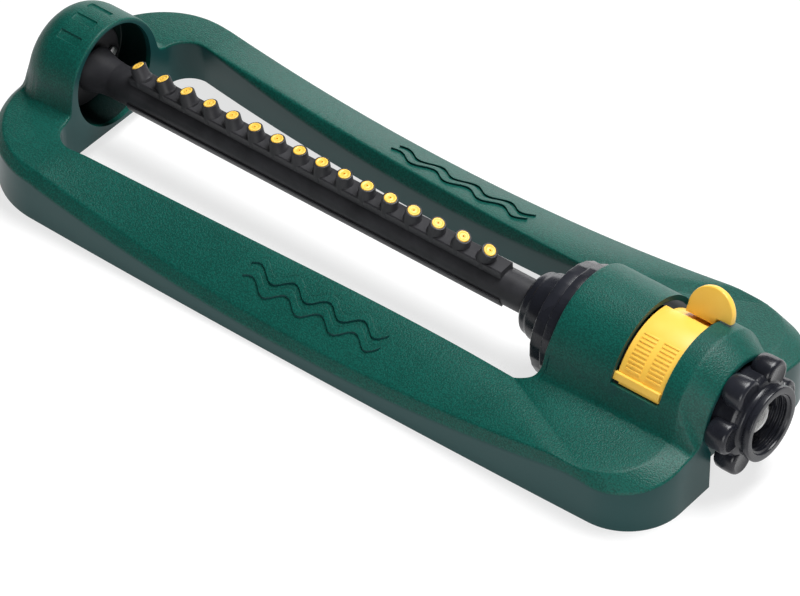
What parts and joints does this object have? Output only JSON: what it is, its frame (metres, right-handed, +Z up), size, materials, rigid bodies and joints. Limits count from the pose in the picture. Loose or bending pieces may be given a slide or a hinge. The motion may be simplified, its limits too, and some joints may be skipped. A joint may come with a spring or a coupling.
{
  "type": "oscillating lawn sprinkler",
  "caption": "Low oscillating lawn sprinkler: moulded ring base, a swinging spray tube with jet nozzles, a geared water motor with range sliders, and a swivel hose coupling.",
  "frame": {"origin": "centre of the footprint, on the ground", "axes": "+X along the spray tube towards the hose coupling, +Z up"},
  "size_m": [0.398, 0.1392, 0.0732],
  "materials": {
    "base": "fine grained top, satin sides",
    "black_gloss": "semi-gloss",
    "black_satin": "satin",
    "yellow": "satin",
    "rubber": "matt",
    "steel": "plain",
    "steel_mesh": "woven wire",
    "grey_plastic": "satin",
    "natural_plastic": "satin"
  },
  "bodies": {
    "base": {"base_frame": "base", "end_bearing": "black_gloss", "bearing_screw_1": "steel", "bearing_screw_2": "steel", "motor_flange": "black_gloss", "shaft_seal": "rubber", "motor_case": "black_satin", "motor_cover": "black_satin", "lay_pin": "steel", "gear_plate": "grey_plastic", "jet_ring": "grey_plastic", "inlet_nipple": "black_satin"},
    "tube": {"spray_tube": "black_satin", "nozzle_strip": "black_satin", "tube_side_panel": "black_satin", "tube_end_plug": "black_satin", "tube_end_bell": "black_satin", "tube_collar": "black_gloss", "output_shaft": "natural_plastic", "nozzle_tip_01": "yellow", "nozzle_tip_02": "yellow", "nozzle_tip_03": "yellow", "nozzle_tip_04": "yellow", "nozzle_tip_05": "yellow", "nozzle_tip_06": "yellow", "nozzle_tip_07": "yellow", "nozzle_tip_08": "yellow", "nozzle_tip_09": "yellow", "nozzle_tip_10": "yellow", "nozzle_tip_11": "yellow", "nozzle_tip_12": "yellow", "nozzle_tip_13": "yellow", "nozzle_tip_14": "yellow", "nozzle_tip_15": "yellow", "nozzle_tip_16": "yellow"},
    "lay_shaft": {"lay_gear": "natural_plastic"},
    "turbine": {"turbine_rotor": "natural_plastic", "turbine_shaft": "steel", "turbine_pinion": "natural_plastic"},
    "lever": {"trip_lever": "yellow"},
    "near_slider": {"range_slider_near": "yellow"},
    "far_slider": {"range_slider_far": "yellow"},
    "coupling": {"hose_coupling": "black_gloss", "hose_washer": "rubber", "filter_screen": "steel_mesh"}
  },
  "joints": [
    {"name": "tube_swing", "type": "hinge", "parent": "base", "child": "tube", "pos_m": [0, 0, 0.032], "axis": [1, 0, 0], "range_deg": [-45, 45]},
    {"name": "lay_spin", "type": "hinge", "parent": "base", "child": "lay_shaft", "pos_m": [0.1278, 0, 0.02135], "axis": [1, 0, 0], "range_deg": [-175, 175]},
    {"name": "turbine_spin", "type": "hinge", "parent": "base", "child": "turbine", "pos_m": [0.1434, 0, 0.032], "axis": [1, 0, 0], "range_deg": [-440, 440]},
    {"name": "lever_trip", "type": "hinge", "parent": "base", "child": "lever", "pos_m": [0.1565, 0, 0.032], "axis": [1, 0, 0], "range_deg": [-20, 20]},
    {"name": "near_range", "type": "hinge", "parent": "base", "child": "near_slider", "pos_m": [0.1485, 0, 0.032], "axis": [1, 0, 0], "range_deg": [-15, 0]},
    {"name": "far_range", "type": "hinge", "parent": "base", "child": "far_slider", "pos_m": [0.1485, 0, 0.032], "axis": [1, 0, 0], "range_deg": [0, 15]},
    {"name": "coupling_swivel", "type": "hinge", "parent": "base", "child": "coupling", "pos_m": [0.185, 0, 0.032], "axis": [1, 0, 0], "continuous": true}
  ],
  "couplings": [
    {"joint": "lay_spin", "follows": "tube_swing", "ratio": -2.5},
    {"joint": "turbine_spin", "follows": "tube_swing", "ratio": 6.25}
  ]
}
